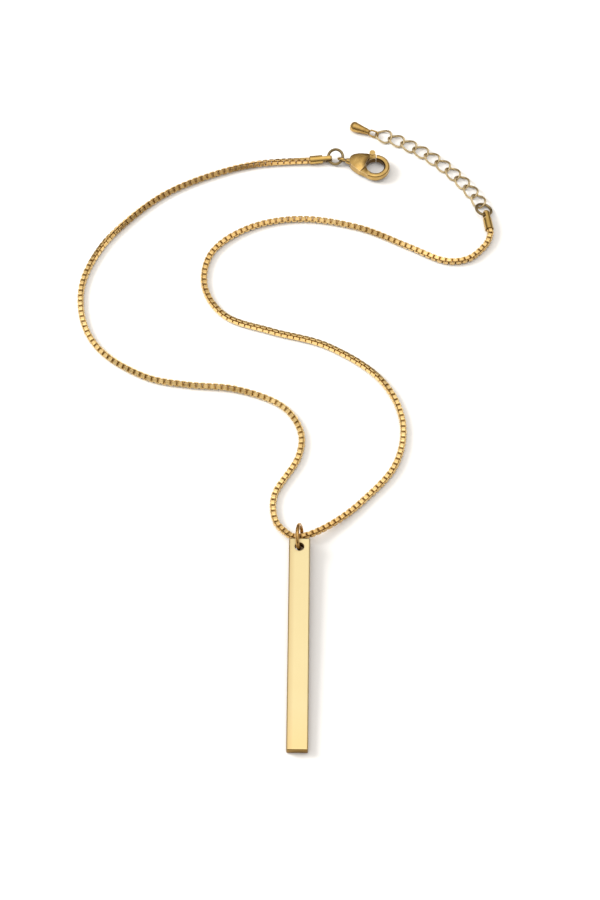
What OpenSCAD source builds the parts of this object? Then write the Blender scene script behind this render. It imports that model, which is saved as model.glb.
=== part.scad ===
// Bar pendant on a box chain, laid out loose and unfastened on a flat surface.
// Millimetres. +Z is up and +Y runs from the bar towards the clasp.
// The origin lies on the surface, under the middle of the whole layout.

/* [Bar] */
// Length of the bar
bar_l = 60; // [30:1:75]
// Width of the bar
bar_w = 5.5; // [4.5:0.1:9]
// Thickness of the bar
bar_t = 2.3; // [1.8:0.1:2.6]
// Radius of the bar's edges
bar_edge_r = 0.4; // [0.1:0.05:0.6]
// Diameter of the hole for the bail ring
hole_d = 2.5; // [2.4:0.05:2.8]
// Metal left between the hole and the bar's end
hole_wall = 1.35; // [0.8:0.05:1.4]

/* [Bail ring] */
// Outer diameter of the ring that carries the bar
bail_d = 7.5; // [7.3:0.1:8]
// Wire of the bail ring
bail_wire = 0.95; // [0.7:0.05:1]
// Lean of the bail ring away from upright, in degrees
bail_lean = 10; // [0:1:16]

/* [Chain] */
// Side of the box chain's square section
chain_w = 1.65; // [1.2:0.05:1.7]

/* [End caps] */
// Outer diameter of each end cap
cap_d = 2.45; // [2.35:0.05:3]
// Length of each end cap
cap_l = 6.3; // [5.5:0.1:8]
// Depth of the bore that holds the chain
cap_bore_l = 3.4; // [2.6:0.1:3.6]
// Thickness of the flattened eye of each end cap
cap_eye_t = 1.3; // [1:0.05:1.4]
// Diameter of the cross hole through the eye
cap_hole_d = 1.6; // [1.55:0.05:1.7]

/* [Jump rings] */
// Wire of the rings at the clasp and at the extender
ring_wire = 0.8; // [0.6:0.05:0.85]

/* [Clasp] */
// Outer diameter of the jump ring at the clasp
clasp_ring_d = 5; // [4.6:0.1:5.4]
// Tilt of that ring, its far side raised, in degrees
clasp_ring_tilt = 28; // [20:1:30]
// Length of the clasp from its tail eye to its nose
clasp_l = 15.4; // [14:0.1:18]
// Width of the clasp over its hook
clasp_w = 8.3; // [7.8:0.1:10]
// Thickness of the clasp's domed cheeks
cheek_t = 3.4; // [3.1:0.1:4]
// Width of the hook's section
hook_w = 1.6; // [1.3:0.05:1.8]
// Thickness of the hook's section
hook_t = 2.2; // [2:0.05:2.6]
// Outer diameter of the tail eye
tail_d = 3; // [2.8:0.05:3.2]
// Wire of the tail eye
tail_wire = 0.8; // [0.7:0.05:0.85]
// Thickness of the lever
lever_t = 1.7; // [1.4:0.05:1.8]
// Diameter of the lever's rivet
rivet_d = 1; // [0.8:0.05:1.2]
// Heading of the clasp, in degrees from +X
clasp_heading = -17; // [-40:1:0]

/* [Extender] */
// Wire of the extender's links
link_wire = 0.6; // [0.5:0.05:0.7]
// Outer length of a link
link_l = 5.3; // [4.8:0.1:6]
// Outer width of a link
link_w = 4.3; // [3.9:0.1:5]
// Number of links
link_n = 9; // [5:1:9]
// Outer width of the last, wider link
end_link_w = 4.8; // [4.2:0.1:5.2]
// Outer diameter of the ring at the right end cap
ext_ring_d = 5.2; // [4.8:0.1:5.6]
// Tilt of that ring, in degrees
ext_ring_tilt = 17; // [15:1:18]
// Heading of the extender's first step, in degrees from +X
ext_heading = 116.7; // [105:0.1:125]
// Turn of the extender at each link, in degrees
ext_turn = 4.4; // [2:0.1:6]

/* [Drop] */
// Length of the drop's solid body
drop_l = 5.8; // [4:0.1:9]
// Diameter of the drop at its free end
drop_d = 3; // [2.4:0.1:3.4]
// Diameter of the drop at its neck
drop_neck_d = 1.5; // [1.2:0.1:2]
// Outer length of the drop's oval loop
drop_loop_l = 3.2; // [2.8:0.1:4]
// Outer width of the drop's oval loop
drop_loop_w = 2.1; // [2:0.05:2.4]
// Wire of the drop's loop
drop_loop_wire = 0.5; // [0.4:0.05:0.55]
// Roll of the drop's loop, its far side raised, in degrees
drop_roll = 42; // [38:1:50]

/* [Clearances] */
// Radial gap between the chain and the end cap's bore
chain_gap = 0.09; // [0.05:0.01:0.12]
// Gap between linked wires
wire_gap = 0.1; // [0.06:0.01:0.14]
// Gap above and below the lever
lever_gap = 0.08; // [0.06:0.01:0.12]
// Radial gap between the rivet and the lever's bore
rivet_gap = 0.05; // [0.03:0.01:0.08]
// Gap at the seam between the lever and the hook's tip
seam_gap = 0.12; // [0.08:0.01:0.2]

/* [Hidden] */

// Route of the chain's middle line, from inside the left end cap to inside the right one: x, y, height
route = [
    [6.05, 97.5, 1.22], [2.5, 97.1, 1.18], [-12.5, 96, 0.92], [-25.5, 92, 0.88], [-38, 85.5, 0.88],
    [-48, 76.5, 0.88], [-56, 66, 0.88], [-60.5, 53.5, 0.88], [-59.5, 40.5, 0.88], [-53.5, 30.5, 0.88],
    [-42, 23, 0.88], [-31, 20.5, 0.88], [-17.5, 19, 0.88], [-5.5, 14, 0.88], [0, 6, 0.88],
    [-0.5, -3, 0.88], [-6.5, -14, 0.92], [-6.7, -21.7, 1.1], [-4, -26.2, 1.7], [0, -28.4, 2.6],
    [7.8, -24.2, 1.55], [16.5, -16.5, 0.95], [25.5, -5, 0.88], [27.5, 9, 0.88], [21.5, 22.5, 0.88],
    [7.5, 33, 0.88], [-8, 38, 0.88], [-20.5, 43, 0.88], [-26.5, 53, 0.88], [-24.5, 65, 0.88],
    [-14, 73.5, 0.88], [0.5, 76.5, 0.88], [16.5, 73.5, 0.88], [30, 67, 0.88], [40, 62, 0.88],
    [47, 62.5, 0.92], [51.9, 67, 1], [53.5, 70.8, 1.15], [53.3, 72.8, 1.22], [52.9, 75.6, 1.22]
];
// Where the bail ring hangs round the chain: x, y of its middle
bail_at = [-0.1, -29.05];
// Heading of the bar from its free end to its hole, and of the bail ring's plane
bar_heading = 89.4;
bail_heading = 85;

chain_sides = 8;
chain_r = chain_w * 0.57;
bend_steps = 2;

bar_color = [0.93, 0.78, 0.47];
chain_color = [0.72, 0.53, 0.24];
clasp_color = [0.76, 0.56, 0.26];
ring_color = [0.6, 0.47, 0.27];

function unit(v) = v / norm(v);
function heading(a) = [cos(a), sin(a), 0];
function heading_of(v) = atan2(v.y, v.x);
function clamp_index(list, i) = list[max(0, min(len(list) - 1, i))];

// A smooth curve through a list of points, at share t of the stretch after point i
function curve_at(p, i, t) =
    let (a = clamp_index(p, i - 1), b = p[i], c = clamp_index(p, i + 1), d = clamp_index(p, i + 2))
    b + (c - a) * t / 2 + (2 * a - 5 * b + 4 * c - d) * t * t / 2 + (3 * b - a - 3 * c + d) * t * t * t / 2;

function smooth_loop(p, steps) =
    let (n = len(p), around = [for (i = [-1 : n + 1]) p[(i + n) % n]])
    [for (i = [1 : n], j = [0 : steps - 1]) curve_at(around, i, j / steps)];

function smooth(p, steps) = concat(
    [for (i = [0 : len(p) - 2], j = [0 : steps - 1]) curve_at(p, i, j / steps)],
    [p[len(p) - 1]]
);

// Rings of points for a round bar swept along a path, and its closed faces, all triangles
function ring_points(path, r, sides) = [
    for (i = [0 : len(path) - 1])
        let (
            along = unit(clamp_index(path, i + 1) - clamp_index(path, i - 1)),
            side = unit(cross([0, 0, 1], along)),
            up = cross(along, side)
        )
        for (k = [0 : sides - 1])
            let (a = 360 * (k + 0.5) / sides)
            path[i] + r * (cos(a) * side + sin(a) * up)
];
function strip_faces(n, sides, closed) = [
    for (i = [0 : n - (closed ? 1 : 2)], k = [0 : sides - 1])
        let (a = i * sides + k, b = i * sides + (k + 1) % sides, shift = ((i + 1) % n - i) * sides)
        each [[a, a + shift, b], [b, a + shift, b + shift]]
];
function end_faces(n, sides) = [
    [for (k = [0 : sides - 1]) k],
    [for (k = [sides - 1 : -1 : 0]) (n - 1) * sides + k]
];

chain_path = smooth(route, bend_steps);
chain_last = len(route) - 1;

// The end caps follow the chain's two ends: each runs outward from the open end of its bore
cap_left_heading = heading_of(route[0] - route[1]);
cap_right_heading = heading_of(route[chain_last] - route[chain_last - 1]);
chain_in = cap_bore_l - 2 * chain_gap;
cap_hole_x = cap_l - cap_hole_d / 2 - 0.25;
function cap_point(from, a, x) = [from.x, from.y, cap_d / 2] + (x - chain_in) * heading(a);

// The clasp ring passes through the left cap's cross hole and through the clasp's tail eye.
// The two pull it along different headings, so it leans across the line half way between them
clasp_hang = -27;
ring_slack = 0.15;
clasp_ring_r = (clasp_ring_d - ring_wire) / 2;
clasp_ring_heading = (cap_left_heading + clasp_hang) / 2;
clasp_pull = (cap_left_heading - clasp_hang) / 2;
clasp_pull_leaned = atan(tan(clasp_pull) / cos(clasp_ring_tilt));
clasp_ring_reach = clasp_ring_r * cos(clasp_pull_leaned) / cos(clasp_pull);
clasp_ring_rise = clasp_ring_r * sin(clasp_pull_leaned) * sin(clasp_ring_tilt);
clasp_ring_pitch = asin((cheek_t - cap_d) / 4 / clasp_ring_r);
clasp_ring_at = let (p = cap_point(route[0], cap_left_heading, cap_hole_x))
    [p.x, p.y, (cap_d + cheek_t) / 4 + clasp_ring_rise]
        + (clasp_ring_reach + ring_slack / 3) * heading(cap_left_heading);
tail_r = (tail_d - tail_wire) / 2;
clasp_at = let (p = clasp_ring_at + (clasp_ring_reach + ring_slack) * heading(clasp_hang))
    [p.x, p.y, cheek_t / 2];

// Places on the clasp, measured from its tail eye along its length
hook_x = clasp_l - tail_d / 2 - clasp_w / 2;
hook_r = clasp_w / 2;
eye_r = hook_r - hook_w;
pivot = [hook_x - 1.08 * hook_r, -0.12 * hook_r];
dome_r = 2.2 * hook_r;
knob_d = 1.7;
knob_t = 0.95 * hook_t;
knob_angle = 116;
seam_angle = 100;
gate_angle = seam_angle + asin(seam_gap / eye_r);
slot_t = lever_t + 2 * lever_gap;
hub_r = rivet_d / 2 + 0.7;
lever_open = 18;

// The extender starts at the right cap's cross hole and turns a little at each link
ext_ring_r = (ext_ring_d - ring_wire) / 2;
link_mid_l = link_l - link_wire;
link_twist = 0.95 * link_wire;
link_z = link_twist + link_wire / 2;
link_pitch = link_mid_l - link_wire - wire_gap;
ext_ring_pitch = asin((cap_d / 2 - link_z) / 2 / ext_ring_r);
ext_ring_at = let (p = cap_point(route[chain_last], cap_right_heading, cap_hole_x))
    [p.x, p.y, (cap_d / 2 + link_z) / 2 + 0.03]
        + (ext_ring_r - ring_slack) * heading(ext_heading - 2 * ext_turn);
first_step = ext_ring_r + link_mid_l / 2 - (ring_wire + link_wire) / 2 - 2 * wire_gap;
function step_heading(k) = ext_heading + ext_turn * k;
function link_at(k) = k == 0
    ? [ext_ring_at.x, ext_ring_at.y, link_z]
        + first_step * heading(step_heading(-1))
    : link_at(k - 1) + link_pitch * heading(step_heading(k));
drop_loop_r = (drop_loop_l - drop_loop_wire) / 2;
drop_heading = step_heading(link_n) + ext_turn / 2;
drop_end_r = 0.42 * drop_d;
drop_z = link_z + 0.18;
drop_pitch = asin((drop_d / 2 + 0.04 - drop_z) / (drop_loop_r + drop_l - drop_end_r));
drop_step = link_mid_l / 2 + drop_loop_r - (link_wire + drop_loop_wire) / 2 - 2 * wire_gap;
drop_swing = 8;
drop_at = link_at(link_n) + [0, 0, drop_z - link_z] + drop_step * heading(drop_heading + drop_swing);

// The bar lies on its free end and on the bail ring, so its hole end is raised a little
bail_r = (bail_d - bail_wire) / 2;
bail_z = bail_wire / 2 + bail_r * cos(bail_lean);
bar_lift = 1.5;
hole_x = bar_l - hole_wall - hole_d / 2;
bar_tilt = asin(bar_lift / hole_x);
hole_drop = (bail_z - bar_lift) / cos(bail_lean);
hole_reach = sqrt(pow(bail_r - bail_wire / 2, 2) - pow(hole_drop, 2)) + hole_d / 2 - wire_gap;
bar_at = [bail_at.x, bail_at.y, 0] - (hole_reach + hole_x * cos(bar_tilt)) * heading(bar_heading);

// Middle of the layout: half way between its farthest points along X and along Y
cap_right_open = cap_point(route[chain_last], cap_right_heading, 0);
x_low = min([for (p = chain_path) p.x]) - chain_r * cos(180 / chain_sides);
x_high = cap_right_open.x + cap_d / 2 * sin(cap_right_heading);
y_low = bar_at.y - bar_w / 2 * cos(bar_heading);
drop_end = drop_at + (drop_loop_r + drop_l - drop_d / 2) * heading(drop_heading);
y_high = drop_end.y + drop_d / 2;
middle = [(x_low + x_high) / 2, (y_low + y_high) / 2, 0];

module laid_out() translate(-middle) children();

module ring(mid_r, wire) {
    rotate_extrude($fn = 64) translate([mid_r, 0]) circle(d = wire, $fn = 24);
}

// A ring drawn out along X: two half rings joined by straight wire
module oval_ring(l, w, wire) {
    mid_r = (w - wire) / 2;
    straight = l - w;
    for (side = [-1, 1]) {
        translate([side * straight / 2, 0, 0]) rotate([0, 0, -90 * side])
            rotate_extrude(angle = 180, $fn = 64) translate([mid_r, 0]) circle(d = wire, $fn = 24);
        translate([-straight / 2, side * mid_r, 0]) rotate([0, 90, 0])
            cylinder(d = wire, h = straight, $fn = 24);
    }
}

// A bar of round section, its long edges and its ends rounded by the same radius
module rounded_square(w, h, r) {
    translate([r, 0]) square([w - 2 * r, h]);
    translate([0, r]) square([w, h - 2 * r]);
    for (x = [r, w - r], y = [r, h - r]) translate([x, y]) circle(r, $fn = 24);
}

module bar() color(bar_color) laid_out()
    translate(bar_at) rotate([0, 0, bar_heading]) rotate([0, -bar_tilt, 0]) difference() {
        intersection() {
            translate([0, -bar_w / 2, 0]) linear_extrude(bar_t) rounded_square(bar_l, bar_w, bar_edge_r);
            translate([0, bar_w / 2, 0]) rotate([90, 0, 0]) linear_extrude(bar_w)
                rounded_square(bar_l, bar_t, bar_edge_r);
            translate([0, -bar_w / 2, 0]) rotate([90, 0, 90]) linear_extrude(bar_l)
                rounded_square(bar_w, bar_t, bar_edge_r);
        }
        translate([hole_x, 0, -1]) cylinder(d = hole_d, h = bar_t + 2, $fn = 48);
    }

module bail_ring() color(ring_color) laid_out()
    translate([bail_at.x, bail_at.y, bail_z]) rotate([0, 0, bail_heading]) rotate([90 - bail_lean, 0, 0])
        ring(bail_r, bail_wire);

module chain() color(chain_color) laid_out()
    polyhedron(
        ring_points(chain_path, chain_r, chain_sides),
        concat(strip_faces(len(chain_path), chain_sides, false), end_faces(len(chain_path), chain_sides))
    );

// An end cap along +X from its open end: a bored barrel, then an eye flattened and pierced across
module cap() {
    round_r = 0.22 * cap_d;
    barrel_l = cap_bore_l + 0.2;
    difference() {
        intersection() {
            rotate([90, 0, 90]) rotate_extrude($fn = 48) {
                square([cap_d / 2 - round_r, cap_l]);
                square([cap_d / 2, cap_l - round_r]);
                translate([cap_d / 2 - round_r, cap_l - round_r]) circle(round_r, $fn = 32);
            }
            union() {
                translate([-1, -cap_d, -cap_d]) cube([barrel_l + 1, 2 * cap_d, 2 * cap_d]);
                translate([0, -cap_eye_t / 2, -cap_d]) cube([cap_l + 1, cap_eye_t, 2 * cap_d]);
            }
        }
        translate([-1, 0, 0]) rotate([0, 90, 0])
            cylinder(r = chain_r + chain_gap, h = cap_bore_l + 1, $fn = 32);
        translate([cap_hole_x, cap_d, 0]) rotate([90, 0, 0])
            cylinder(d = cap_hole_d, h = 2 * cap_d, $fn = 32);
    }
}

module cap_left() color(clasp_color) laid_out()
    translate(cap_point(route[0], cap_left_heading, 0)) rotate([0, 0, cap_left_heading])
        rotate([clasp_ring_tilt, 0, 0]) cap();

module cap_right() color(clasp_color) laid_out()
    translate(cap_point(route[chain_last], cap_right_heading, 0)) rotate([0, 0, cap_right_heading])
        rotate([ext_ring_tilt, 0, 0]) cap();

module clasp_ring() color(ring_color) laid_out()
    translate(clasp_ring_at) rotate([0, -clasp_ring_pitch, clasp_ring_heading])
        rotate([clasp_ring_tilt, 0, 0]) ring(clasp_ring_r, ring_wire);

// Points of an arc about a middle
function heading2(a) = [cos(a), sin(a)];
function arc(at, r, from, to, steps) = [
    for (i = [0 : steps]) at + r * heading2(from + (to - from) * i / steps)
];

// Outlines on the clasp: place along as shares of the hook's distance and of its radius,
// and place across as a share of its radius
BACK = 0;
RADII = 1;
ACROSS = 2;
function on_clasp(outline) = [for (p = outline) [hook_x * p[BACK] + hook_r * p[RADII], hook_r * p[ACROSS]]];
// The domed cheeks, from the neck's near side round
cheek_outline = [
    [0.23, 0, -0.15], [0.27, 0, -0.3], [0.34, 0, -0.45], [0.47, 0, -0.61], [1, -1.02, -0.72],
    [1, -0.9, -0.77], [1, -0.85, -0.7], [1, -0.78, -0.57], [1, -0.69, -0.38], [1, -0.65, -0.15],
    [1, -0.65, 0.05], [1, -0.62, 0.26], [1, -0.56, 0.44], [1, -0.57, 0.64], [1, -0.7, 0.83],
    [0.59, 0, 0.75], [0.45, 0, 0.65], [0.33, 0, 0.53], [0.25, 0, 0.4], [0.215, 0, 0.18]
];
// The near arm, from under the cheeks to the step where the hook begins
arm_outline = [
    [0.3, 0, -0.35], [0.35, 0, -0.45], [0.48, 0, -0.61], [1, -0.8, -0.76],
    [1, -0.42, -0.87], [1, -0.27, -0.94], [1, -0.1, -0.4], [1, -0.63, 0.04], [0.48, 0, 0]
];

module hook_section() {
    translate([eye_r, -hook_t / 2]) rounded_square(hook_w, hook_t, 0.4 * hook_w);
}

module dome(z) {
    translate([pivot.x, 0.1 * hook_r, z]) rotate([90, 0, 0]) sphere(dome_r, $fn = 96);
}

module clasp_solid() {
    arm_t = 0.5 * cheek_t;
    step_angle = -106;
    // Domed cheeks
    intersection() {
        translate([0, 0, -cheek_t]) linear_extrude(2 * cheek_t)
            polygon(smooth_loop(on_clasp(cheek_outline), 3));
        dome(cheek_t / 2 - dome_r);
        dome(dome_r - cheek_t / 2);
    }
    // Near arm
    difference() {
        translate([0, 0, -arm_t / 2]) linear_extrude(arm_t)
            polygon(on_clasp(arm_outline));
        translate([hook_x, 0, -cheek_t]) cylinder(r = eye_r, h = 2 * cheek_t, $fn = 72);
    }
    // Hook from the step round the nose to its tip at the seam
    translate([hook_x, 0, 0]) rotate([0, 0, step_angle])
        rotate_extrude(angle = seam_angle - step_angle, $fn = 96) hook_section();
    // Tail eye and neck
    rotate([90 + clasp_ring_tilt, 0, 0]) ring(tail_r, tail_wire);
    translate([tail_r, 0, 0]) rotate([0, 90, 0])
        cylinder(d1 = 1.8 * tail_wire, d2 = 0.72 * cheek_t, h = 0.24 * hook_x, $fn = 32);
}

module clasp_body() color(clasp_color) laid_out()
    translate(clasp_at) rotate([0, 0, clasp_heading]) {
        difference() {
            clasp_solid();
            // Slot between the cheeks, as wide as the lever's swing
            translate([0, 0, -slot_t / 2]) linear_extrude(slot_t) polygon(concat(
                arc(pivot, hub_r + 2 * lever_gap, 190, 325, 9),
                [[hook_x - eye_r + 0.4, 0.2]],
                [for (r = [eye_r - 0.4, 2 * hook_r]) [hook_x, 0] + r * heading2(seam_angle + 2)],
                [pivot + 2 * hook_r * heading2(102)]
            ));
        }
        translate([pivot.x, pivot.y, 0.2 - cheek_t / 2]) cylinder(d = rivet_d, h = cheek_t - 0.4, $fn = 48);
    }

// Plan of the lever: its hub, an arm and the stretch of the hook's ring that closes the seam
function lever_plan() = concat(
    arc(pivot, hub_r, 150, 320, 17),
    arc([hook_x, 0], eye_r + lever_gap, 145, gate_angle, 8),
    arc([hook_x, 0], hook_r, gate_angle, knob_angle - 8, 3),
    arc([hook_x, 0], 1.12 * hook_r, knob_angle - 4, 130, 4)
);

module clasp_lever() color(clasp_color) laid_out()
    translate(clasp_at) rotate([0, 0, clasp_heading]) difference() {
        union() {
            translate([0, 0, -lever_t / 2]) linear_extrude(lever_t) polygon(lever_plan());
            translate([hook_x, 0, -knob_t / 2] + (hook_r + 0.35 * knob_d) * heading(knob_angle))
                cylinder(d = knob_d, h = knob_t, $fn = 48);
        }
        translate([pivot.x, pivot.y, -lever_t])
            cylinder(d = rivet_d + 2 * rivet_gap, h = 2 * lever_t, $fn = 48);
    }

module extender_ring() color(ring_color) laid_out()
    translate(ext_ring_at) rotate([0, ext_ring_pitch, step_heading(-1)])
        rotate([ext_ring_tilt, 0, 0]) ring(ext_ring_r, ring_wire);

// A curb link of twisted wire, its long axis along +X
module curb_link(l, w) {
    turns = 16;
    sides = 6;
    mid = [for (i = [0 : turns - 1]) let (a = 360 * i / turns)
        [(l - link_wire) / 2 * cos(a), (w - link_wire) / 2 * sin(a), link_twist * sin(2 * a)]];
    points = [
        for (i = [0 : turns - 1])
            let (
                along = unit(mid[(i + 1) % turns] - mid[(i + turns - 1) % turns]),
                side = unit(cross([0, 0, 1], along)),
                up = cross(along, side)
            )
            for (k = [0 : sides - 1])
                let (a = 360 * k / sides)
                mid[i] + link_wire / 2 * (cos(a) * side + sin(a) * up)
    ];
    polyhedron(points, strip_faces(turns, sides, true));
}

module extender_link(k) color(ring_color) laid_out()
    translate(link_at(k - 1)) rotate([0, 0, step_heading(k - 1) + ext_turn / 2]) curb_link(link_l, link_w);

module end_link() color(ring_color) laid_out()
    translate(link_at(link_n)) rotate([0, 0, step_heading(link_n) + ext_turn / 2])
        curb_link(link_l, end_link_w);

module end_drop() color(chain_color) laid_out()
    translate(drop_at) rotate([0, -drop_pitch, drop_heading]) {
        rotate([-drop_roll, 0, 0]) oval_ring(drop_loop_l, drop_loop_w, drop_loop_wire);
        translate([drop_loop_r, 0, 0]) rotate([90, 0, 90]) rotate_extrude($fn = 48) {
            polygon([
                [0, 0], [drop_neck_d / 2, 0.15],
                [drop_d / 2, drop_l - drop_end_r], [0, drop_l - drop_end_r]
            ]);
            square([drop_d / 2 - drop_end_r, drop_l]);
            intersection() {
                translate([drop_d / 2 - drop_end_r, drop_l - drop_end_r]) circle(drop_end_r, $fn = 32);
                square([drop_d, drop_l]);
            }
        }
    }

bar();
bail_ring();
chain();
cap_left();
cap_right();
clasp_ring();
clasp_body();
clasp_lever();
extender_ring();
for (k = [1 : link_n]) extender_link(k);
end_link();
end_drop();
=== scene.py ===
import bisect
import math
import random

import bpy
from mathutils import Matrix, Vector


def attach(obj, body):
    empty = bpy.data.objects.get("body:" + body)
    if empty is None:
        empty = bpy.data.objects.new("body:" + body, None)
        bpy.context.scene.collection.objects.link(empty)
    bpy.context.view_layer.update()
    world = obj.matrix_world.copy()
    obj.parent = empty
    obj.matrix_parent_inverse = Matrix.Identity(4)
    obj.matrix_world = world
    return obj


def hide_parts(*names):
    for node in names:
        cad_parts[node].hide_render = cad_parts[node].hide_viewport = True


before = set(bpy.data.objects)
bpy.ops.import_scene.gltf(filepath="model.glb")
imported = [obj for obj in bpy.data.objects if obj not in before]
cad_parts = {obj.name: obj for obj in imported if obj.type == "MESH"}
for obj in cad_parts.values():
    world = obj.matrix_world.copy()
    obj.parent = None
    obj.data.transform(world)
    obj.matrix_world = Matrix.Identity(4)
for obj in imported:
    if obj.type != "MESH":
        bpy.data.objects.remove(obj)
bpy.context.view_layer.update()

# Metres throughout. The route and its middle are those of the CAD source
MIDDLE = Vector((-0.00347855, 0.0105994, 0))
ROUTE = [
    (0.00605, 0.0975, 0.00122), (0.0025, 0.0971, 0.00118), (-0.0125, 0.096, 0.00092),
    (-0.0255, 0.092, 0.00088), (-0.038, 0.0855, 0.00088), (-0.048, 0.0765, 0.00088),
    (-0.056, 0.066, 0.00088), (-0.0605, 0.0535, 0.00088), (-0.0595, 0.0405, 0.00088),
    (-0.0535, 0.0305, 0.00088), (-0.042, 0.023, 0.00088), (-0.031, 0.0205, 0.00088),
    (-0.0175, 0.019, 0.00088), (-0.0055, 0.014, 0.00088), (0, 0.006, 0.00088),
    (-0.0005, -0.003, 0.00088), (-0.0065, -0.014, 0.00092), (-0.0067, -0.0217, 0.0011),
    (-0.004, -0.0262, 0.0017), (0, -0.0284, 0.0026), (0.0078, -0.0242, 0.00155),
    (0.0165, -0.0165, 0.00095), (0.0255, -0.005, 0.00088), (0.0275, 0.009, 0.00088),
    (0.0215, 0.0225, 0.00088), (0.0075, 0.033, 0.00088), (-0.008, 0.038, 0.00088),
    (-0.0205, 0.043, 0.00088), (-0.0265, 0.053, 0.00088), (-0.0245, 0.065, 0.00088),
    (-0.014, 0.0735, 0.00088), (0.0005, 0.0765, 0.00088), (0.0165, 0.0735, 0.00088),
    (0.03, 0.067, 0.00088), (0.04, 0.062, 0.00088), (0.047, 0.0625, 0.00092), (0.0519, 0.067, 0.001),
    (0.0535, 0.0708, 0.00115), (0.0533, 0.0728, 0.00122), (0.0529, 0.0756, 0.00122),
]
BAR_HEADING = 89.4
BAR_TILT = 1.49745
BAR_AT = Vector((-0.000730591, -0.0892648, 0)) - MIDDLE
BAR_LENGTH = 0.06
BAR_WIDTH = 0.0055
CLASP_AT = Vector((0.012163, 0.0969548, 0.0017)) - MIDDLE
CLASP_HEADING = -17
CLASP_EYE_AT = (0.00975, 0, 0)
CLASP_EYE_RADIUS = 0.00255

# Box chain: pitch of its links, and the size of one link's square loop of flat strip
LINK_PITCH = 0.000875
LINK_LONG = 0.00165
LINK_ACROSS = 0.00168
LINK_CORNER = 0.00046
STRIP_THICK = 0.00034
STRIP_WIDE = 0.00094
STRIP_CHAMFER = 0.00006
CORNER_STEPS = 4
# Wire radius that rounding takes from the faceted links
WIRE_LOST = 0.00005
# How far the chain has rolled about its own line: arc length in metres, degrees
ROLL = [
    (0, 0), (0.012, 20), (0.03, 45), (0.06, 45), (0.08, 10), (0.1, 0), (0.115, 40), (0.15, 45),
    (0.17, 30), (0.182, 0), (0.202, 0), (0.212, 0), (0.232, 10), (0.244, 0), (0.266, 0),
    (0.28, 20), (0.33, 15), (0.345, 10), (0.36, 30), (0.4, 45), (0.424, 5), (0.44, 0),
]
# How dulled the chain's plating is along it: arc length in metres, share
DULLED = [
    (0, 0.6), (0.02, 0.75), (0.05, 0.7), (0.075, 0.25), (0.11, 0), (0.16, 0), (0.2, 0.15),
    (0.212, 0.9), (0.224, 0.9), (0.238, 0.25), (0.26, 0.1), (0.325, 0.05), (0.345, 0.7),
    (0.365, 0.7), (0.385, 0.35), (0.44, 0.5),
]

# Camera: how far it is from the place it looks at, how steeply it looks down, and its lens in mm
CAMERA_AWAY = 0.706
CAMERA_DOWN = math.radians(58)
CAMERA_LENS = 105.6
# Half the floor's side, and how far it lies under the part
FLOOR_HALF = 1.5
FLOOR_UNDER = 0.00001
# Soft light from the left: place, side and power
KEY_AT = (-0.85, 0.28, 0.56)
KEY_SIDE = 0.55
KEY_POWER = 12.0
# The sky's tones by height, from straight down at 0 to straight up at 1, and the tone the camera sees
SKY = [
    (0.0, (0.1, 0.07, 0.05, 1)), (0.35, (0.16, 0.13, 0.1, 1)), (0.62, (0.75, 0.71, 0.65, 1)),
    (0.8, (1.28, 1.25, 1.2, 1)), (0.9, (1.2, 1.17, 1.13, 1)), (1.0, (2.1, 2.05, 2.0, 1)),
]
SEEN_SKY = (0.93, 0.93, 0.93, 1)


def set_camera():
    data = bpy.data.cameras.new("camera")
    data.lens = CAMERA_LENS
    data.sensor_width = 36
    data.clip_start = 0.01
    data.clip_end = 20
    camera = bpy.data.objects.new("camera", data)
    camera.location = Vector((0, -math.cos(CAMERA_DOWN), math.sin(CAMERA_DOWN))) * CAMERA_AWAY - MIDDLE
    camera.rotation_euler = (math.pi / 2 - CAMERA_DOWN, 0, 0)
    bpy.context.scene.collection.objects.link(camera)
    bpy.context.scene.camera = camera


# Chain

def curve_point(a, b, c, d, t):
    """A smooth curve through four points, between the middle two."""
    return (
        b + (c - a) * (t / 2) + (2 * a - 5 * b + 4 * c - d) * (t * t / 2)
        + (3 * b - a - 3 * c + d) * (t * t * t / 2)
    )


def chain_line(steps=24):
    """Points close together on the route, and how far along the chain each one is."""
    route = [Vector(p) - MIDDLE for p in ROUTE]
    route = [route[0]] + route + [route[-1]]
    line = []
    for i in range(1, len(route) - 2):
        for j in range(steps):
            line.append(curve_point(*route[i - 1:i + 3], j / steps))
    line.append(route[-2])
    along = [0.0]
    for a, b in zip(line, line[1:]):
        along.append(along[-1] + (b - a).length)
    return line, along


def between(table, at):
    """Value at a place of a table of (place, value) rows."""
    places = [row[0] for row in table]
    i = min(max(bisect.bisect_right(places, at), 1), len(table) - 1)
    (a, u), (b, v) = table[i - 1], table[i]
    share = min(max((at - a) / (b - a), 0), 1)
    return u + (v - u) * share


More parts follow.
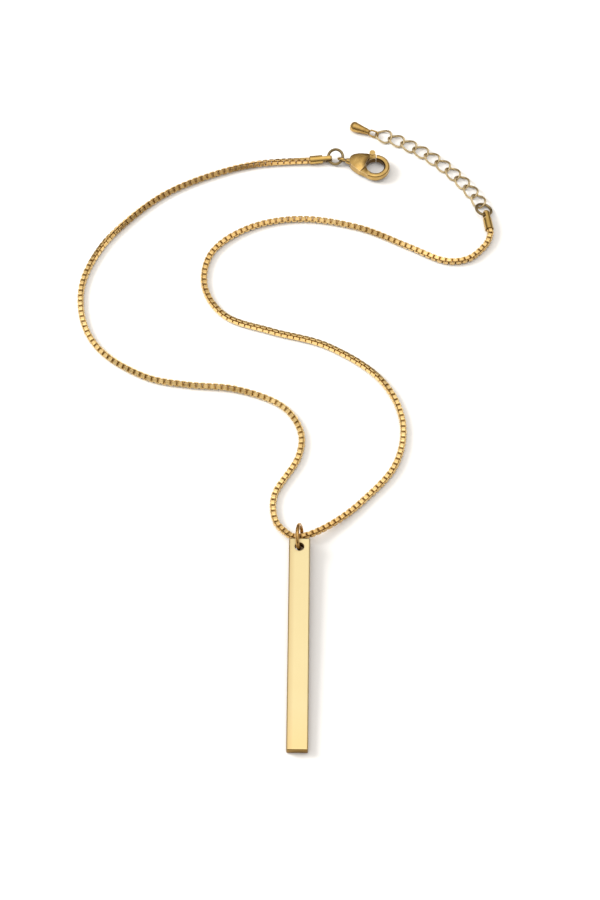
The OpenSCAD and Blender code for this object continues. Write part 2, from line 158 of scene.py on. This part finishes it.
def link_shape():
    """Points of one box link about its own middle, as rings of strip section round a square loop, and the
    share of each section point that looks into the loop."""
    half_long = (LINK_LONG - STRIP_THICK) / 2
    half_across = (LINK_ACROSS - STRIP_THICK) / 2
    bend = LINK_CORNER - STRIP_THICK / 2
    middle_line = []
    for quarter in range(4):
        start = quarter * math.pi / 2
        cx = (half_long - bend) * (1 if quarter in (0, 3) else -1)
        cy = (half_across - bend) * (1 if quarter in (0, 1) else -1)
        for step in range(CORNER_STEPS):
            a = start + math.pi / 2 * step / (CORNER_STEPS - 1)
            out = Vector((math.cos(a), math.sin(a)))
            middle_line.append((Vector((cx, cy)) + out * bend, out))
    t, w, c = STRIP_THICK / 2, STRIP_WIDE / 2, STRIP_CHAMFER
    section = [
        (t, w - c), (t - c, w), (c - t, w), (-t, w - c),
        (-t, c - w), (c - t, -w), (t - c, -w), (t, c - w),
    ]
    rings = []
    for point, out in middle_line:
        rings.append([
            (point.x + out.x * h, point.y + out.y * h, z, 1.0 if h < 0 else 0.0) for h, z in section
        ])
    return rings


def make_chain():
    """The box links along the route, each resting on the surface where it would dip below it."""
    line, along = chain_line()
    length = along[-1]
    count = int((length - 0.0009) / LINK_PITCH)
    start = (length - (count - 1) * LINK_PITCH) / 2
    rings = link_shape()
    n_rings, n_side = len(rings), len(rings[0])
    rng = random.Random(7)
    points, faces, inner, tone, dulled = [], [], [], [], []
    for k in range(count):
        s = start + k * LINK_PITCH
        i = min(bisect.bisect_right(along, s), len(along) - 1)
        share = (s - along[i - 1]) / (along[i] - along[i - 1])
        at = line[i - 1].lerp(line[i], share)
        j, m = max(i - 4, 0), min(i + 3, len(line) - 1)
        forward = (line[m] - line[j]).normalized()
        side = Vector((0, 0, 1)).cross(forward).normalized()
        up = forward.cross(side)
        roll = math.radians(between(ROLL, s) + 90 * (k % 2) + rng.uniform(-2.5, 2.5))
        across = side * math.cos(roll) + up * math.sin(roll)
        normal = forward.cross(across)
        shade = rng.random()
        first = len(points)
        for ring in rings:
            for x, y, z, looks_in in ring:
                points.append(at + forward * x + across * y + normal * z)
                inner.append(looks_in)
                tone.append(shade)
                dulled.append(between(DULLED, s))
        sunk = max(0.0, -min(p.z for p in points[first:]))
        for p in points[first:]:
            p.z += sunk
        for r in range(n_rings):
            for q in range(n_side):
                a = first + r * n_side + q
                b = first + r * n_side + (q + 1) % n_side
                c = first + (r + 1) % n_rings * n_side + (q + 1) % n_side
                d = first + (r + 1) % n_rings * n_side + q
                faces.append((a, d, c, b))
    mesh = bpy.data.meshes.new("chain_links")
    mesh.from_pydata([tuple(p) for p in points], [], faces)
    mesh.update()
    for name, values in (("looks_in", inner), ("link_tone", tone), ("dulled", dulled)):
        mesh.attributes.new(name, "FLOAT", "POINT").data.foreach_set("value", values)
    return add_piece("chain_links", mesh, "necklace", ["chain"])


def add_piece(name, mesh, body, stands_for):
    piece = bpy.data.objects.new(name, mesh)
    bpy.context.scene.collection.objects.link(piece)
    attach(piece, body)
    if stands_for:
        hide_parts(*stands_for)
    return piece


# Shared effects

def new_group(name, inputs, outputs):
    """An empty effect with named sockets: (kind, name, default) rows."""
    group = bpy.data.node_groups.new(name, "ShaderNodeTree")
    for kind, label, value in inputs:
        socket = group.interface.new_socket(name=label, in_out="INPUT", socket_type="NodeSocket" + kind)
        if value is not None:
            socket.default_value = value
    for kind, label in outputs:
        group.interface.new_socket(name=label, in_out="OUTPUT", socket_type="NodeSocket" + kind)
    return group, group.nodes.new("NodeGroupInput"), group.nodes.new("NodeGroupOutput")


def feed(tree, socket, value):
    """A socket fed by another node's output, or set to a value."""
    if isinstance(value, bpy.types.NodeSocket):
        tree.links.new(value, socket)
    else:
        socket.default_value = value


def node(tree, kind, links=(), **settings):
    """A node with its settings, fed by (input, output socket or value) pairs."""
    made = tree.nodes.new(kind)
    for key, value in settings.items():
        setattr(made, key, value)
    for key, value in links:
        feed(tree, made.inputs[key], value)
    return made


def math_node(tree, operation, *values, clamp=False):
    made = node(tree, "ShaderNodeMath", list(enumerate(values)), operation=operation, use_clamp=clamp)
    return made.outputs[0]


def spread(tree, value, low, high, to_low=0.0, to_high=1.0):
    """A value moved from one range to another, held at its ends."""
    return node(tree, "ShaderNodeMapRange", [
        ("Value", value), ("From Min", low), ("From Max", high), ("To Min", to_low), ("To Max", to_high),
    ], clamp=True).outputs["Result"]


def tint(tree, share, plain, changed):
    """A plain colour that turns into a changed one by a share."""
    made = node(tree, "ShaderNodeMix", data_type="RGBA")
    for number, value in ((0, share), (6, plain), (7, changed)):
        feed(tree, made.inputs[number], value)
    return made.outputs[2]


def make_tarnish():
    """Gold plating that goes from a clean colour to a duller one in soft patches."""
    group, put_in, put_out = new_group("tarnish", [
        ("Vector", "Position", None), ("Color", "Clean", (0.9, 0.6, 0.25, 1)),
        ("Color", "Dull", (0.4, 0.2, 0.06, 1)), ("Float", "Scale", 300.0), ("Float", "Amount", 0.5),
    ], [("Color", "Color"), ("Float", "Mask")])
    cloud = node(group, "ShaderNodeTexNoise", [
        ("Vector", put_in.outputs["Position"]), ("Scale", put_in.outputs["Scale"]),
        ("Detail", 4.0), ("Roughness", 0.6),
    ])
    patches = spread(group, cloud.outputs[0], 0.35, 0.7)
    mask = math_node(group, "MULTIPLY", patches, put_in.outputs["Amount"])
    colour = tint(group, mask, put_in.outputs["Clean"], put_in.outputs["Dull"])
    group.links.new(colour, put_out.inputs["Color"])
    group.links.new(mask, put_out.inputs["Mask"])
    return group


def make_sharp_edge_mask():
    """A mask that is 1 along sharp edges, broken up by noise; the materials lighten or darken their edges
    with it.
    """
    group, put_in, put_out = new_group("sharp_edge_mask", [
        ("Vector", "Position", None), ("Float", "Width", 0.0002),
        ("Float", "Amount", 1.0), ("Float", "Scale", 900.0),
    ], [("Float", "Mask")])
    rounded = node(group, "ShaderNodeBevel", [("Radius", put_in.outputs["Width"])], samples=4)
    plain = node(group, "ShaderNodeNewGeometry")
    facing = node(group, "ShaderNodeVectorMath", [
        (0, rounded.outputs["Normal"]), (1, plain.outputs["Normal"]),
    ], operation="DOT_PRODUCT").outputs["Value"]
    edge = spread(group, facing, 0.99, 0.8)
    cloud = node(group, "ShaderNodeTexNoise", [
        ("Vector", put_in.outputs["Position"]), ("Scale", put_in.outputs["Scale"]), ("Detail", 3.0),
    ])
    broken = math_node(group, "MULTIPLY", edge, spread(group, cloud.outputs[0], 0.3, 0.6, 0.4, 1.0))
    mask = math_node(group, "MULTIPLY", broken, put_in.outputs["Amount"], clamp=True)
    group.links.new(mask, put_out.inputs["Mask"])
    return group


def make_fine_scratches():
    """Hairline marks that run mostly along one axis: height for a bump, and a mask for roughness."""
    group, put_in, put_out = new_group("fine_scratches", [
        ("Vector", "Position", None), ("Float", "Scale", 1500.0),
        ("Float", "Stretch", 0.02), ("Float", "Strength", 1.0),
    ], [("Float", "Height"), ("Float", "Mask")])
    shape = node(group, "ShaderNodeCombineXYZ", [("X", put_in.outputs["Stretch"]), ("Y", 1.0), ("Z", 1.0)])
    drawn = node(group, "ShaderNodeVectorMath", [
        (0, put_in.outputs["Position"]), (1, shape.outputs[0]),
    ], operation="MULTIPLY")
    lines = node(group, "ShaderNodeTexNoise", [
        ("Vector", drawn.outputs[0]), ("Scale", put_in.outputs["Scale"]),
        ("Detail", 5.0), ("Roughness", 0.7),
    ])
    strength = put_in.outputs["Strength"]
    height = math_node(group, "MULTIPLY", lines.outputs[0], strength)
    group.links.new(height, put_out.inputs["Height"])
    mask = math_node(group, "MULTIPLY", spread(group, lines.outputs[0], 0.55, 0.75), strength)
    group.links.new(mask, put_out.inputs["Mask"])
    return group


def make_cast_skin():
    """The faint unevenness of a cast and tumbled surface."""
    group, put_in, put_out = new_group("cast_skin", [
        ("Vector", "Position", None), ("Float", "Scale", 700.0), ("Float", "Depth", 1.0),
    ], [("Float", "Height")])
    swell = node(group, "ShaderNodeTexNoise", [
        ("Vector", put_in.outputs["Position"]), ("Scale", put_in.outputs["Scale"]), ("Detail", 2.0),
    ])
    finer = math_node(group, "MULTIPLY", put_in.outputs["Scale"], 7.0)
    fine = node(group, "ShaderNodeTexNoise", [
        ("Vector", put_in.outputs["Position"]), ("Scale", finer), ("Detail", 2.0),
    ])
    both = math_node(group, "MULTIPLY_ADD", fine.outputs[0], 0.15, swell.outputs[0])
    group.links.new(math_node(group, "MULTIPLY", both, put_in.outputs["Depth"]), put_out.inputs["Height"])
    return group


def make_painted_recess_shade():
    """A mask that is 1 deep in gaps and against neighbours, for painted shade there."""
    group, put_in, put_out = new_group("painted_recess_shade", [
        ("Float", "Reach", 0.0006), ("Float", "Start", 0.75),
        ("Float", "Full", 0.25), ("Float", "Amount", 1.0),
    ], [("Float", "Mask")])
    reach = put_in.outputs["Reach"]
    open_share = node(group, "ShaderNodeAmbientOcclusion", [("Distance", reach)], samples=6)
    deep = node(group, "ShaderNodeMapRange", [
        ("Value", open_share.outputs["AO"]), ("From Min", put_in.outputs["Start"]),
        ("From Max", put_in.outputs["Full"]),
    ], clamp=True)
    mask = math_node(group, "MULTIPLY", deep.outputs["Result"], put_in.outputs["Amount"])
    group.links.new(mask, put_out.inputs["Mask"])
    return group


TARNISH = make_tarnish()
PAINTED_RECESS_SHADE = make_painted_recess_shade()
SHARP_EDGE_MASK = make_sharp_edge_mask()
FINE_SCRATCHES = make_fine_scratches()
CAST_SKIN = make_cast_skin()


def effect(tree, group, **values):
    """A shared effect placed in a material, with this material's own values."""
    made = tree.nodes.new("ShaderNodeGroup")
    made.node_tree = group
    for key, value in values.items():
        feed(tree, made.inputs[key], value)
    return made


def new_metal(name):
    """A material with a metal shader and the object's own coordinates."""
    material = bpy.data.materials.new(name)
    material.use_nodes = True
    tree = material.node_tree
    shader = tree.nodes["Principled BSDF"]
    shader.inputs["Metallic"].default_value = 1.0
    place = tree.nodes.new("ShaderNodeTexCoord").outputs["Object"]
    return material, tree, shader, place


def turned_to(tree, place, at, heading, tilt=0.0):
    """Coordinates along, across and through a piece that lies at an angle."""
    moved = node(tree, "ShaderNodeVectorMath", [(0, place), (1, tuple(at))], operation="SUBTRACT")
    flat = node(tree, "ShaderNodeVectorRotate", [
        ("Vector", moved.outputs[0]), ("Angle", math.radians(-heading)),
    ], rotation_type="Z_AXIS")
    return node(tree, "ShaderNodeVectorRotate", [
        ("Vector", flat.outputs[0]), ("Angle", math.radians(tilt)),
    ], rotation_type="Y_AXIS").outputs[0]


def rough_and_bump(tree, shader, roughness, height, distance):
    """Roughness and a bump of this depth on a metal."""
    tree.links.new(roughness, shader.inputs["Roughness"])
    bump = node(tree, "ShaderNodeBump", [("Height", height), ("Strength", 1.0), ("Distance", distance)])
    tree.links.new(bump.outputs[0], shader.inputs["Normal"])


def satin_bar_gold():
    """Satin plated gold of the bar: drawn hairlines, warmer towards one end, painted shade on its left
    side, on the cut sides and in the hole, and along its long edges.
    """
    material, tree, shader, place = new_metal("satin_bar_gold")
    own = turned_to(tree, place, BAR_AT, BAR_HEADING, BAR_TILT)
    axes = node(tree, "ShaderNodeSeparateXYZ", [(0, own)])
    lines = effect(tree, FINE_SCRATCHES, Position=own, Scale=2600.0, Stretch=0.012, Strength=1.0)
    plate = effect(
        tree, TARNISH, Position=own, Clean=(0.745, 0.627, 0.345, 1),
        Dull=(0.73, 0.6, 0.315, 1), Scale=90.0, Amount=0.5,
    )
    near_end = spread(tree, axes.outputs["X"], 0.0, 0.2 * BAR_LENGTH, 0.5, 0.0)
    warm = tint(tree, near_end, plate.outputs["Color"], (0.78, 0.55, 0.22, 1))
    # Painted shade: the left part of the top face darker.
    left_painted_shade = spread(tree, axes.outputs["Y"], 0.2 * BAR_WIDTH, 0.5 * BAR_WIDTH, 0.0, 0.6)
    left_shaded = tint(tree, left_painted_shade, warm, (0.55, 0.38, 0.17, 1))
    # Painted shade: darker along the edges.
    edge_mask = effect(tree, SHARP_EDGE_MASK, Position=own, Width=0.0003, Amount=0.8, Scale=900.0)
    edged = tint(tree, edge_mask.outputs["Mask"], left_shaded, (0.4, 0.26, 0.09, 1))
    # Painted shade: faces turned away from straight up, the cut sides, ends and hole wall, darker.
    normal = node(tree, "ShaderNodeNewGeometry").outputs["Normal"]
    facing = node(tree, "ShaderNodeSeparateXYZ", [(0, normal)])
    turned_away_shade = tint(tree, spread(tree, facing.outputs["Z"], 0.85, 0.35), edged, (0.27, 0.145, 0.012, 1))
    # Painted shade: darker deep in the hole and near other parts.
    shade_in_recesses = effect(tree, PAINTED_RECESS_SHADE, Reach=0.0016, Start=0.62, Full=0.3, Amount=0.9)
    colour = tint(tree, shade_in_recesses.outputs["Mask"], turned_away_shade, (0.12, 0.035, 0.005, 1))
    tree.links.new(colour, shader.inputs["Base Color"])
    roughness = math_node(tree, "MULTIPLY_ADD", lines.outputs["Mask"], 0.08, 0.3)
    height = math_node(tree, "MULTIPLY", lines.outputs["Height"], 0.25)
    rough_and_bump(tree, shader, roughness, height, 0.00001)
    return material


def box_chain_gold():
    """Antique gold of the chain: bright outside, painted shade inside each loop and in the gaps between
    links, each link a little its own.
    """
    material, tree, shader, place = new_metal("box_chain_gold")
    inside = node(tree, "ShaderNodeAttribute", attribute_name="looks_in").outputs["Fac"]
    tone = node(tree, "ShaderNodeAttribute", attribute_name="link_tone").outputs["Fac"]
    plate = effect(
        tree, TARNISH, Position=place, Clean=(0.97, 0.73, 0.35, 1),
        Dull=(0.8, 0.54, 0.2, 1), Scale=60.0, Amount=0.6,
    )
    own_share = spread(tree, tone, 0.0, 1.0, 0.0, 0.35)
    own_tone = tint(tree, own_share, plate.outputs["Color"], (0.85, 0.58, 0.22, 1))
    dulled = node(tree, "ShaderNodeAttribute", attribute_name="dulled").outputs["Fac"]
    aged = tint(tree, math_node(tree, "MULTIPLY", dulled, 0.75), own_tone, (0.62, 0.37, 0.12, 1))
    # Painted shade: darker on faces inside each loop and in the gaps between links.
    shade_in_recesses = effect(tree, PAINTED_RECESS_SHADE, Reach=0.0007, Start=0.6, Full=0.2, Amount=0.6)
    painted_shade_share = math_node(tree, "MAXIMUM", math_node(tree, "MULTIPLY", inside, 0.6), shade_in_recesses.outputs["Mask"])
    tree.links.new(tint(tree, painted_shade_share, aged, (0.22, 0.11, 0.022, 1)), shader.inputs["Base Color"])
    skin = effect(tree, CAST_SKIN, Position=place, Scale=2500.0, Depth=1.0)
    roughness = math_node(tree, "MULTIPLY_ADD", plate.outputs["Mask"], 0.2, 0.24)
    rough_and_bump(tree, shader, roughness, skin.outputs["Height"], 0.00002)
    return material


def cast_clasp_gold():
    """Polished cast gold of the clasp: painted shade in its recesses, on the eye's inner wall and along
    the cheek's step beside the eye; its edges paler, as rubbed plating and as a painted highlight.
    """
    material, tree, shader, place = new_metal("cast_clasp_gold")
    own = turned_to(tree, place, CLASP_AT, CLASP_HEADING)
    plate = effect(
        tree, TARNISH, Position=own, Clean=(0.6, 0.4, 0.14, 1),
        Dull=(0.3, 0.17, 0.04, 1), Scale=350.0, Amount=0.6,
    )
    edge_mask = effect(tree, SHARP_EDGE_MASK, Position=own, Width=0.0003, Amount=0.65, Scale=1400.0)
    flat = node(tree, "ShaderNodeVectorMath", [(0, own), (1, (1, 1, 0))], operation="MULTIPLY")
    from_eye = node(tree, "ShaderNodeVectorMath", [
        (0, flat.outputs[0]), (1, CLASP_EYE_AT),
    ], operation="DISTANCE").outputs["Value"]
    # Painted shade on the eye's inner wall and in a band along the cheek's step beside the eye.
    wall_ends = CLASP_EYE_RADIUS + 0.0003
    eye_wall = spread(tree, from_eye, wall_ends, CLASP_EYE_RADIUS + 0.0001, 0.0, 0.85)
    near_step = spread(tree, from_eye, CLASP_EYE_RADIUS + 0.0014, wall_ends, 0.0, 0.85)
    along = node(tree, "ShaderNodeSeparateXYZ", [(0, own)]).outputs["X"]
    on_cheek = spread(tree, along, CLASP_EYE_AT[0] - 0.0012, CLASP_EYE_AT[0] - 0.002)
    # Painted shade: darker in recesses.
    shade_in_recesses = effect(tree, PAINTED_RECESS_SHADE, Reach=0.0022, Start=0.8, Full=0.4, Amount=0.95)
    step_shade = math_node(tree, "MAXIMUM", math_node(tree, "MULTIPLY", near_step, on_cheek), eye_wall)
    painted_shade_share = math_node(tree, "MAXIMUM", shade_in_recesses.outputs["Mask"], step_shade)
    shaded = tint(tree, painted_shade_share, plate.outputs["Color"], (0.06, 0.025, 0.003, 1))
    # Edges paler: rubbed plating and a painted highlight.
    colour = tint(tree, edge_mask.outputs["Mask"], shaded, (0.9, 0.74, 0.46, 1))
    tree.links.new(colour, shader.inputs["Base Color"])
    skin = effect(tree, CAST_SKIN, Position=own, Scale=900.0, Depth=1.0)
    scratch = effect(tree, FINE_SCRATCHES, Position=own, Scale=3000.0, Stretch=0.1, Strength=0.5)
    roughness = math_node(tree, "MULTIPLY_ADD", scratch.outputs["Mask"], 0.15, 0.17)
    rough_and_bump(tree, shader, roughness, skin.outputs["Height"], 0.00003)
    return material


def rolled_cap_gold():
    """Drawn tube gold of the end caps."""
    material, tree, shader, place = new_metal("rolled_cap_gold")
    plate = effect(
        tree, TARNISH, Position=place, Clean=(0.55, 0.37, 0.12, 1),
        Dull=(0.4, 0.24, 0.06, 1), Scale=500.0, Amount=0.6,
    )
    # Darker along its edges.
    edge_mask = effect(tree, SHARP_EDGE_MASK, Position=place, Width=0.0002, Amount=0.6, Scale=1500.0)
    colour = tint(tree, edge_mask.outputs["Mask"], plate.outputs["Color"], (0.4, 0.22, 0.07, 1))
    tree.links.new(colour, shader.inputs["Base Color"])
    scratch = effect(tree, FINE_SCRATCHES, Position=place, Scale=3000.0, Stretch=0.1, Strength=0.6)
    roughness = math_node(tree, "MULTIPLY_ADD", scratch.outputs["Mask"], 0.12, 0.24)
    rough_and_bump(tree, shader, roughness, scratch.outputs["Height"], 0.00001)
    return material


def wire_gold(name, clean, dull, base_roughness):
    """Drawn wire with dull patches and painted shade where it nears other parts."""
    material, tree, shader, place = new_metal(name)
    plate = effect(tree, TARNISH, Position=place, Clean=clean, Dull=dull, Scale=420.0, Amount=0.8)
    # Painted shade: darker where the wire nears other parts.
    shade_in_recesses = effect(tree, PAINTED_RECESS_SHADE, Reach=0.0008, Start=0.8, Full=0.35, Amount=0.8)
    colour = tint(tree, shade_in_recesses.outputs["Mask"], plate.outputs["Color"], (0.1, 0.06, 0.02, 1))
    tree.links.new(colour, shader.inputs["Base Color"])
    skin = effect(tree, CAST_SKIN, Position=place, Scale=1800.0, Depth=1.0)
    roughness = math_node(tree, "MULTIPLY_ADD", plate.outputs["Mask"], 0.2, base_roughness)
    rough_and_bump(tree, shader, roughness, skin.outputs["Height"], 0.00002)
    return material


def amber_drop_gold():
    """Amber gold of the drop."""
    material, tree, shader, place = new_metal("amber_drop_gold")
    plate = effect(
        tree, TARNISH, Position=place, Clean=(0.6, 0.39, 0.13, 1),
        Dull=(0.27, 0.15, 0.035, 1), Scale=400.0, Amount=0.7,
    )
    tree.links.new(plate.outputs["Color"], shader.inputs["Base Color"])
    skin = effect(tree, CAST_SKIN, Position=place, Scale=1200.0, Depth=1.0)
    roughness = math_node(tree, "MULTIPLY_ADD", plate.outputs["Mask"], 0.2, 0.26)
    rough_and_bump(tree, shader, roughness, skin.outputs["Height"], 0.00002)
    return material


# Scene

def dress(name, material, smooth_wire=False):
    """A CAD node with its finish. Faceted wire is welded and rounded by modifiers."""
    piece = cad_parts[name]
    piece.data.materials.clear()
    piece.data.materials.append(material)
    if smooth_wire:
        weld = piece.modifiers.new("weld", "WELD")
        weld.merge_threshold = 1e-6
        rounding = piece.modifiers.new("rounding", "SUBSURF")
        rounding.levels = 2
        rounding.render_levels = 2
        fuller = piece.modifiers.new("fuller", "DISPLACE")
        fuller.mid_level = 0.0
        fuller.strength = WIRE_LOST


def make_floor():
    mesh = bpy.data.meshes.new("floor")
    corners = [(x * FLOOR_HALF, y * FLOOR_HALF, 0) for x, y in ((-1, -1), (1, -1), (1, 1), (-1, 1))]
    mesh.from_pydata(corners, [], [(0, 1, 2, 3)])
    floor = bpy.data.objects.new("floor", mesh)
    floor.location.z = -FLOOR_UNDER
    bpy.context.scene.collection.objects.link(floor)
    material = bpy.data.materials.new("pale_floor")
    material.use_nodes = True
    shader = material.node_tree.nodes["Principled BSDF"]
    shader.inputs["Base Color"].default_value = (0.9, 0.9, 0.9, 1)
    shader.inputs["Roughness"].default_value = 0.9
    shader.inputs["Specular IOR Level"].default_value = 0.0
    mesh.materials.append(material)


def add_key_light():
    data = bpy.data.lights.new("key", "AREA")
    data.shape = "RECTANGLE"
    data.size = data.size_y = KEY_SIDE
    data.energy = KEY_POWER
    data.color = (1.0, 0.98, 0.95)
    lamp = bpy.data.objects.new("key", data)
    lamp.location = KEY_AT
    lamp.rotation_euler = (-Vector(KEY_AT)).to_track_quat("-Z", "Y").to_euler()
    lamp.visible_glossy = False
    bpy.context.scene.collection.objects.link(lamp)


def light_studio():
    world = bpy.data.worlds.new("studio")
    bpy.context.scene.world = world
    world.use_nodes = True
    tree = world.node_tree
    back = tree.nodes["Background"]
    direction = node(tree, "ShaderNodeTexCoord").outputs["Generated"]
    rise = node(tree, "ShaderNodeSeparateXYZ", [(0, direction)]).outputs["Z"]
    bands = node(tree, "ShaderNodeValToRGB", [("Fac", rise)])
    ramp = bands.color_ramp
    for spot, (position, colour) in zip(ramp.elements, (SKY[0], SKY[-1])):
        spot.position, spot.color = position, colour
    for position, colour in SKY[1:-1]:
        ramp.elements.new(position).color = colour
    seen = node(tree, "ShaderNodeLightPath").outputs["Is Camera Ray"]
    tree.links.new(tint(tree, seen, bands.outputs[0], SEEN_SKY), back.inputs["Color"])
    back.inputs["Strength"].default_value = 1.0
    add_key_light()


set_camera()
make_floor()
light_studio()
bpy.context.scene.view_settings.view_transform = "Standard"

chain = make_chain()
chain.data.materials.append(box_chain_gold())

dress("bar", satin_bar_gold())
BAIL_GOLD = wire_gold("aged_bail_gold", (0.6, 0.36, 0.12, 1), (0.22, 0.1, 0.02, 1), 0.2)
RING_GOLD = wire_gold("dull_ring_gold", (0.32, 0.24, 0.12, 1), (0.2, 0.14, 0.06, 1), 0.28)
LINK_GOLD = wire_gold("pale_link_gold", (0.72, 0.58, 0.34, 1), (0.48, 0.36, 0.18, 1), 0.3)
CLASP_GOLD = cast_clasp_gold()
CAP_GOLD = rolled_cap_gold()
dress("bail_ring", BAIL_GOLD)
for name in ("clasp_body", "clasp_lever"):
    dress(name, CLASP_GOLD)
for name in ("cap_left", "cap_right"):
    dress(name, CAP_GOLD)
for name in ("clasp_ring", "extender_ring"):
    dress(name, RING_GOLD)
for name in [f"extender_link_{k}" for k in range(1, 10)] + ["end_link"]:
    dress(name, LINK_GOLD, smooth_wire=True)
dress("end_drop", amber_drop_gold())
